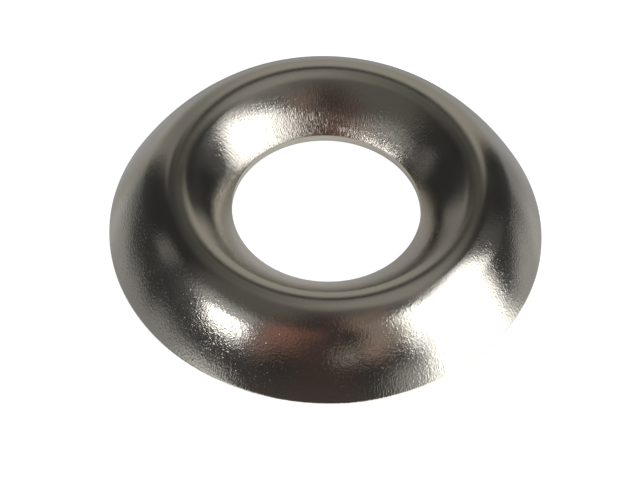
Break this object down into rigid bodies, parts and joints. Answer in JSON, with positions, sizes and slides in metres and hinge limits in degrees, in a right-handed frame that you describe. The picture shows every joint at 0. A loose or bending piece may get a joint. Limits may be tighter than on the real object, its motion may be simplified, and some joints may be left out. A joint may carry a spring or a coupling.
{
  "type": "finishing cup washer",
  "caption": "Round pressed sheet-metal cup washer with a rounded crest, a flared skirt and a pierced hole; seats a countersunk screw head proud of a surface.",
  "frame": {"origin": "centre of the rim's flat seat, on the washer's axis", "axes": "+Z along the washer's axis, out of the cup towards the screw's driver; X and Y lie in the seat and are equivalent"},
  "size_m": [0.0144, 0.0144, 0.0027],
  "materials": {
    "nickel_plate": "bright nickel plate on pressed sheet, with a fine speckle and faint drawing marks"
  },
  "bodies": {
    "root": {"cup_washer": "nickel_plate"}
  },
  "joints": []
}
